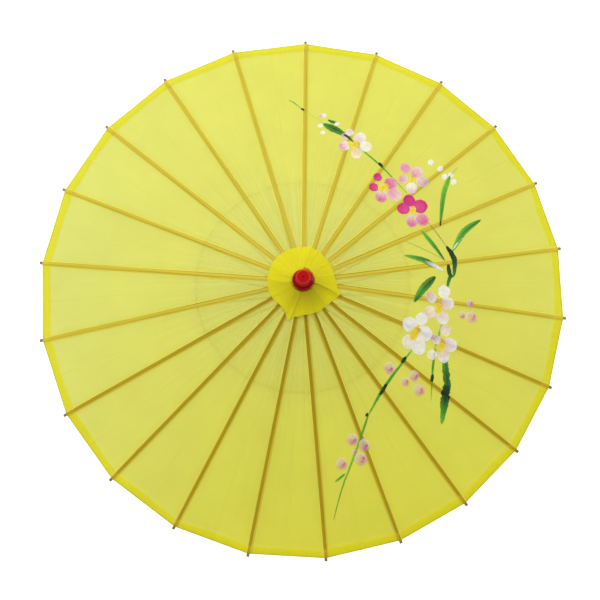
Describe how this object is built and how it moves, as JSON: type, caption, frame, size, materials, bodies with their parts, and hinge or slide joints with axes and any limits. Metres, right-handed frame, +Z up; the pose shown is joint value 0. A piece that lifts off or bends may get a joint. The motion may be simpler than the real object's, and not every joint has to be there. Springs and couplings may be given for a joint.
{
  "type": "folding parasol",
  "caption": "Open hand-held parasol: painted yellow cloth on split-bamboo ribs and stretchers that fold on a runner along a turned wooden pole.",
  "frame": {"origin": "centre of the lower end face of the handle, where a hand or a holder takes it", "axes": "+Z up the pole towards the finial; +Y within 3 degrees of the first rib; right-handed, metres"},
  "size_m": [0.8143, 0.82, 0.5528],
  "materials": {
    "pole_wood": "satin varnished light wood",
    "handle_wood": "gloss varnished turned wood",
    "finial_red": "gloss red lacquer",
    "notch_wood": "satin turned light wood",
    "steel_wire": "bright drawn wire",
    "yellow_cloth": "thin yellow cloth, hand painted, lets light through",
    "collar_cloth": "gathered yellow cloth",
    "thread": "cotton thread",
    "bamboo": "split bamboo, satin"
  },
  "bodies": {
    "pole": {"shaft": "pole_wood", "handle": "handle_wood", "finial": "finial_red", "top_notch": "notch_wood", "notch_wire": "steel_wire", "canopy": "yellow_cloth", "collar": "collar_cloth", "collar_tie": "thread", "catch_pin": "steel_wire"},
    "catch": {"catch": "bamboo"},
    "runner": {"runner": "notch_wood", "runner_wire": "steel_wire"},
    "rib_01": {"rib_01": "bamboo"},
    "rib_02": {"rib_02": "bamboo"},
    "rib_03": {"rib_03": "bamboo"},
    "rib_04": {"rib_04": "bamboo"},
    "rib_05": {"rib_05": "bamboo"},
    "rib_06": {"rib_06": "bamboo"},
    "rib_07": {"rib_07": "bamboo"},
    "rib_08": {"rib_08": "bamboo"},
    "rib_09": {"rib_09": "bamboo"},
    "rib_10": {"rib_10": "bamboo"},
    "rib_11": {"rib_11": "bamboo"},
    "rib_12": {"rib_12": "bamboo"},
    "rib_13": {"rib_13": "bamboo"},
    "rib_14": {"rib_14": "bamboo"},
    "rib_15": {"rib_15": "bamboo"},
    "rib_16": {"rib_16": "bamboo"},
    "rib_17": {"rib_17": "bamboo"},
    "rib_18": {"rib_18": "bamboo"},
    "rib_19": {"rib_19": "bamboo"},
    "rib_20": {"rib_20": "bamboo"},
    "rib_21": {"rib_21": "bamboo"},
    "rib_22": {"rib_22": "bamboo"},
    "stretcher_01": {"stretcher_01": "bamboo"},
    "stretcher_02": {"stretcher_02": "bamboo"},
    "stretcher_03": {"stretcher_03": "bamboo"},
    "stretcher_04": {"stretcher_04": "bamboo"},
    "stretcher_05": {"stretcher_05": "bamboo"},
    "stretcher_06": {"stretcher_06": "bamboo"},
    "stretcher_07": {"stretcher_07": "bamboo"},
    "stretcher_08": {"stretcher_08": "bamboo"},
    "stretcher_09": {"stretcher_09": "bamboo"},
    "stretcher_10": {"stretcher_10": "bamboo"},
    "stretcher_11": {"stretcher_11": "bamboo"},
    "stretcher_12": {"stretcher_12": "bamboo"},
    "stretcher_13": {"stretcher_13": "bamboo"},
    "stretcher_14": {"stretcher_14": "bamboo"},
    "stretcher_15": {"stretcher_15": "bamboo"},
    "stretcher_16": {"stretcher_16": "bamboo"},
    "stretcher_17": {"stretcher_17": "bamboo"},
    "stretcher_18": {"stretcher_18": "bamboo"},
    "stretcher_19": {"stretcher_19": "bamboo"},
    "stretcher_20": {"stretcher_20": "bamboo"},
    "stretcher_21": {"stretcher_21": "bamboo"},
    "stretcher_22": {"stretcher_22": "bamboo"}
  },
  "joints": [
    {"name": "fold", "type": "hinge", "parent": "pole", "child": "rib_01", "pos_m": [0.00087, 0.01698, 0.516], "axis": [-0.9987, 0.0511, 0], "range_deg": [0, 72.2], "deforming": ["canopy", "collar", "catch"]},
    {"name": "rib_02_fold", "type": "hinge", "parent": "pole", "child": "rib_02", "pos_m": [-0.00393, 0.01654, 0.516], "axis": [-0.9729, -0.2312, 0], "range_deg": [0, 72.2]},
    {"name": "rib_03_fold", "type": "hinge", "parent": "pole", "child": "rib_03", "pos_m": [-0.00848, 0.01474, 0.516], "axis": [-0.8668, -0.4987, 0], "range_deg": [0, 72.2]},
    {"name": "rib_04_fold", "type": "hinge", "parent": "pole", "child": "rib_04", "pos_m": [-0.01237, 0.01166, 0.516], "axis": [-0.686, -0.7276, 0], "range_deg": [0, 72.2]},
    {"name": "rib_05_fold", "type": "hinge", "parent": "pole", "child": "rib_05", "pos_m": [-0.01523, 0.00755, 0.516], "axis": [-0.4439, -0.8961, 0], "range_deg": [0, 72.2]},
    {"name": "rib_06_fold", "type": "hinge", "parent": "pole", "child": "rib_06", "pos_m": [-0.01678, 0.00273, 0.516], "axis": [-0.1606, -0.987, 0], "range_deg": [0, 72.2]},
    {"name": "rib_07_fold", "type": "hinge", "parent": "pole", "child": "rib_07", "pos_m": [-0.01684, -0.00235, 0.516], "axis": [0.1384, -0.9904, 0], "range_deg": [0, 72.2]},
    {"name": "rib_08_fold", "type": "hinge", "parent": "pole", "child": "rib_08", "pos_m": [-0.01539, -0.00723, 0.516], "axis": [0.4253, -0.905, 0], "range_deg": [0, 72.2]},
    {"name": "rib_09_fold", "type": "hinge", "parent": "pole", "child": "rib_09", "pos_m": [-0.01257, -0.01145, 0.516], "axis": [0.6735, -0.7392, 0], "range_deg": [0, 72.2]},
    {"name": "rib_10_fold", "type": "hinge", "parent": "pole", "child": "rib_10", "pos_m": [-0.00866, -0.01463, 0.516], "axis": [0.8606, -0.5093, 0], "range_deg": [0, 72.2]},
    {"name": "rib_11_fold", "type": "hinge", "parent": "pole", "child": "rib_11", "pos_m": [-0.00404, -0.01651, 0.516], "axis": [0.9714, -0.2375, 0], "range_deg": [0, 72.2]},
    {"name": "rib_12_fold", "type": "hinge", "parent": "pole", "child": "rib_12", "pos_m": [0.00087, -0.01698, 0.516], "axis": [0.9987, 0.0511, 0], "range_deg": [0, 72.2]},
    {"name": "rib_13_fold", "type": "hinge", "parent": "pole", "child": "rib_13", "pos_m": [0.00563, -0.01604, 0.516], "axis": [0.9435, 0.3315, 0], "range_deg": [0, 72.2]},
    {"name": "rib_14_fold", "type": "hinge", "parent": "pole", "child": "rib_14", "pos_m": [0.00988, -0.01383, 0.516], "axis": [0.8137, 0.5813, 0], "range_deg": [0, 72.2]},
    {"name": "rib_15_fold", "type": "hinge", "parent": "pole", "child": "rib_15", "pos_m": [0.0133, -0.01058, 0.516], "axis": [0.6225, 0.7826, 0], "range_deg": [0, 72.2]},
    {"name": "rib_16_fold", "type": "hinge", "parent": "pole", "child": "rib_16", "pos_m": [0.01568, -0.00657, 0.516], "axis": [0.3865, 0.9223, 0], "range_deg": [0, 72.2]},
    {"name": "rib_17_fold", "type": "hinge", "parent": "pole", "child": "rib_17", "pos_m": [0.01687, -0.00211, 0.516], "axis": [0.124, 0.9923, 0], "range_deg": [0, 72.2]},
    {"name": "rib_18_fold", "type": "hinge", "parent": "pole", "child": "rib_18", "pos_m": [0.01682, 0.00249, 0.516], "axis": [-0.1462, 0.9893, 0], "range_deg": [0, 72.2]},
    {"name": "rib_19_fold", "type": "hinge", "parent": "pole", "child": "rib_19", "pos_m": [0.01554, 0.00689, 0.516], "axis": [-0.4055, 0.9141, 0], "range_deg": [0, 72.2]},
    {"name": "rib_20_fold", "type": "hinge", "parent": "pole", "child": "rib_20", "pos_m": [0.01312, 0.01081, 0.516], "axis": [-0.6358, 0.7718, 0], "range_deg": [0, 72.2]},
    {"name": "rib_21_fold", "type": "hinge", "parent": "pole", "child": "rib_21", "pos_m": [0.00971, 0.01395, 0.516], "axis": [-0.8207, 0.5713, 0], "range_deg": [0, 72.2]},
    {"name": "rib_22_fold", "type": "hinge", "parent": "pole", "child": "rib_22", "pos_m": [0.00553, 0.01607, 0.516], "axis": [-0.9456, 0.3254, 0], "range_deg": [0, 72.2]},
    {"name": "stretcher_01_pivot", "type": "hinge", "parent": "rib_01", "child": "stretcher_01", "pos_m": [0.00871, 0.17025, 0.47074], "axis": [-0.9987, 0.0511, 0], "range_deg": [-144.4, 0]},
    {"name": "stretcher_02_pivot", "type": "hinge", "parent": "rib_02", "child": "stretcher_02", "pos_m": [-0.03942, 0.16585, 0.47074], "axis": [-0.9729, -0.2312, 0], "range_deg": [-144.4, 0]},
    {"name": "stretcher_03_pivot", "type": "hinge", "parent": "rib_03", "child": "stretcher_03", "pos_m": [-0.08501, 0.14776, 0.47074], "axis": [-0.8668, -0.4987, 0], "range_deg": [-144.4, 0]},
    {"name": "stretcher_04_pivot", "type": "hinge", "parent": "rib_04", "child": "stretcher_04", "pos_m": [-0.12403, 0.11695, 0.47074], "axis": [-0.686, -0.7276, 0], "range_deg": [-144.4, 0]},
    {"name": "stretcher_05_pivot", "type": "hinge", "parent": "rib_05", "child": "stretcher_05", "pos_m": [-0.15276, 0.07567, 0.47074], "axis": [-0.4439, -0.8961, 0], "range_deg": [-144.4, 0]},
    {"name": "stretcher_06_pivot", "type": "hinge", "parent": "rib_06", "child": "stretcher_06", "pos_m": [-0.16826, 0.02738, 0.47074], "axis": [-0.1606, -0.987, 0], "range_deg": [-144.4, 0]},
    {"name": "stretcher_07_pivot", "type": "hinge", "parent": "rib_07", "child": "stretcher_07", "pos_m": [-0.16883, -0.0236, 0.47074], "axis": [0.1384, -0.9904, 0], "range_deg": [-144.4, 0]},
    {"name": "stretcher_08_pivot", "type": "hinge", "parent": "rib_08", "child": "stretcher_08", "pos_m": [-0.15428, -0.07251, 0.47074], "axis": [0.4253, -0.905, 0], "range_deg": [-144.4, 0]},
    {"name": "stretcher_09_pivot", "type": "hinge", "parent": "rib_09", "child": "stretcher_09", "pos_m": [-0.12601, -0.11481, 0.47074], "axis": [0.6735, -0.7392, 0], "range_deg": [-144.4, 0]},
    {"name": "stretcher_10_pivot", "type": "hinge", "parent": "rib_10", "child": "stretcher_10", "pos_m": [-0.08681, -0.14671, 0.47074], "axis": [0.8606, -0.5093, 0], "range_deg": [-144.4, 0]},
    {"name": "stretcher_11_pivot", "type": "hinge", "parent": "rib_11", "child": "stretcher_11", "pos_m": [-0.04048, -0.1656, 0.47074], "axis": [0.9714, -0.2375, 0], "range_deg": [-144.4, 0]},
    {"name": "stretcher_12_pivot", "type": "hinge", "parent": "rib_12", "child": "stretcher_12", "pos_m": [0.00871, -0.17025, 0.47074], "axis": [0.9987, 0.0511, 0], "range_deg": [-144.4, 0]},
    {"name": "stretcher_13_pivot", "type": "hinge", "parent": "rib_13", "child": "stretcher_13", "pos_m": [0.0565, -0.16083, 0.47074], "axis": [0.9435, 0.3315, 0], "range_deg": [-144.4, 0]},
    {"name": "stretcher_14_pivot", "type": "hinge", "parent": "rib_14", "child": "stretcher_14", "pos_m": [0.0991, -0.13871, 0.47074], "axis": [0.8137, 0.5813, 0], "range_deg": [-144.4, 0]},
    {"name": "stretcher_15_pivot", "type": "hinge", "parent": "rib_15", "child": "stretcher_15", "pos_m": [0.13341, -0.10612, 0.47074], "axis": [0.6225, 0.7826, 0], "range_deg": [-144.4, 0]},
    {"name": "stretcher_16_pivot", "type": "hinge", "parent": "rib_16", "child": "stretcher_16", "pos_m": [0.15722, -0.06589, 0.47074], "axis": [0.3865, 0.9223, 0], "range_deg": [-144.4, 0]},
    {"name": "stretcher_17_pivot", "type": "hinge", "parent": "rib_17", "child": "stretcher_17", "pos_m": [0.16916, -0.02114, 0.47074], "axis": [0.124, 0.9923, 0], "range_deg": [-144.4, 0]},
    {"name": "stretcher_18_pivot", "type": "hinge", "parent": "rib_18", "child": "stretcher_18", "pos_m": [0.16864, 0.02493, 0.47074], "axis": [-0.1462, 0.9893, 0], "range_deg": [-144.4, 0]},
    {"name": "stretcher_19_pivot", "type": "hinge", "parent": "rib_19", "child": "stretcher_19", "pos_m": [0.15583, 0.06912, 0.47074], "axis": [-0.4055, 0.9141, 0], "range_deg": [-144.4, 0]},
    {"name": "stretcher_20_pivot", "type": "hinge", "parent": "rib_20", "child": "stretcher_20", "pos_m": [0.13157, 0.10839, 0.47074], "axis": [-0.6358, 0.7718, 0], "range_deg": [-144.4, 0]},
    {"name": "stretcher_21_pivot", "type": "hinge", "parent": "rib_21", "child": "stretcher_21", "pos_m": [0.09739, 0.13991, 0.47074], "axis": [-0.8207, 0.5713, 0], "range_deg": [-144.4, 0]},
    {"name": "stretcher_22_pivot", "type": "hinge", "parent": "rib_22", "child": "stretcher_22", "pos_m": [0.05547, 0.16119, 0.47074], "axis": [-0.9456, 0.3254, 0], "range_deg": [-144.4, 0]},
    {"name": "runner_pivot", "type": "hinge", "parent": "stretcher_01", "child": "runner", "pos_m": [0.00087, 0.01698, 0.42549], "axis": [-0.9987, 0.0511, 0], "range_deg": [0, 72.2]},
    {"name": "catch_press", "type": "hinge", "parent": "pole", "child": "catch", "pos_m": [0.0025, 0, 0.33109], "axis": [0, -1, 0], "range_deg": [0, 5.5], "stiffness_Nm_per_rad": 0.05, "springref_deg": -5.73}
  ],
  "couplings": [
    {"joint": "rib_02_fold", "follows": "fold", "ratio": 1},
    {"joint": "rib_03_fold", "follows": "fold", "ratio": 1},
    {"joint": "rib_04_fold", "follows": "fold", "ratio": 1},
    {"joint": "rib_05_fold", "follows": "fold", "ratio": 1},
    {"joint": "rib_06_fold", "follows": "fold", "ratio": 1},
    {"joint": "rib_07_fold", "follows": "fold", "ratio": 1},
    {"joint": "rib_08_fold", "follows": "fold", "ratio": 1},
    {"joint": "rib_09_fold", "follows": "fold", "ratio": 1},
    {"joint": "rib_10_fold", "follows": "fold", "ratio": 1},
    {"joint": "rib_11_fold", "follows": "fold", "ratio": 1},
    {"joint": "rib_12_fold", "follows": "fold", "ratio": 1},
    {"joint": "rib_13_fold", "follows": "fold", "ratio": 1},
    {"joint": "rib_14_fold", "follows": "fold", "ratio": 1},
    {"joint": "rib_15_fold", "follows": "fold", "ratio": 1},
    {"joint": "rib_16_fold", "follows": "fold", "ratio": 1},
    {"joint": "rib_17_fold", "follows": "fold", "ratio": 1},
    {"joint": "rib_18_fold", "follows": "fold", "ratio": 1},
    {"joint": "rib_19_fold", "follows": "fold", "ratio": 1},
    {"joint": "rib_20_fold", "follows": "fold", "ratio": 1},
    {"joint": "rib_21_fold", "follows": "fold", "ratio": 1},
    {"joint": "rib_22_fold", "follows": "fold", "ratio": 1},
    {"joint": "stretcher_01_pivot", "follows": "fold", "ratio": -2},
    {"joint": "stretcher_02_pivot", "follows": "fold", "ratio": -2},
    {"joint": "stretcher_03_pivot", "follows": "fold", "ratio": -2},
    {"joint": "stretcher_04_pivot", "follows": "fold", "ratio": -2},
    {"joint": "stretcher_05_pivot", "follows": "fold", "ratio": -2},
    {"joint": "stretcher_06_pivot", "follows": "fold", "ratio": -2},
    {"joint": "stretcher_07_pivot", "follows": "fold", "ratio": -2},
    {"joint": "stretcher_08_pivot", "follows": "fold", "ratio": -2},
    {"joint": "stretcher_09_pivot", "follows": "fold", "ratio": -2},
    {"joint": "stretcher_10_pivot", "follows": "fold", "ratio": -2},
    {"joint": "stretcher_11_pivot", "follows": "fold", "ratio": -2},
    {"joint": "stretcher_12_pivot", "follows": "fold", "ratio": -2},
    {"joint": "stretcher_13_pivot", "follows": "fold", "ratio": -2},
    {"joint": "stretcher_14_pivot", "follows": "fold", "ratio": -2},
    {"joint": "stretcher_15_pivot", "follows": "fold", "ratio": -2},
    {"joint": "stretcher_16_pivot", "follows": "fold", "ratio": -2},
    {"joint": "stretcher_17_pivot", "follows": "fold", "ratio": -2},
    {"joint": "stretcher_18_pivot", "follows": "fold", "ratio": -2},
    {"joint": "stretcher_19_pivot", "follows": "fold", "ratio": -2},
    {"joint": "stretcher_20_pivot", "follows": "fold", "ratio": -2},
    {"joint": "stretcher_21_pivot", "follows": "fold", "ratio": -2},
    {"joint": "stretcher_22_pivot", "follows": "fold", "ratio": -2},
    {"joint": "runner_pivot", "follows": "fold", "ratio": 1}
  ]
}
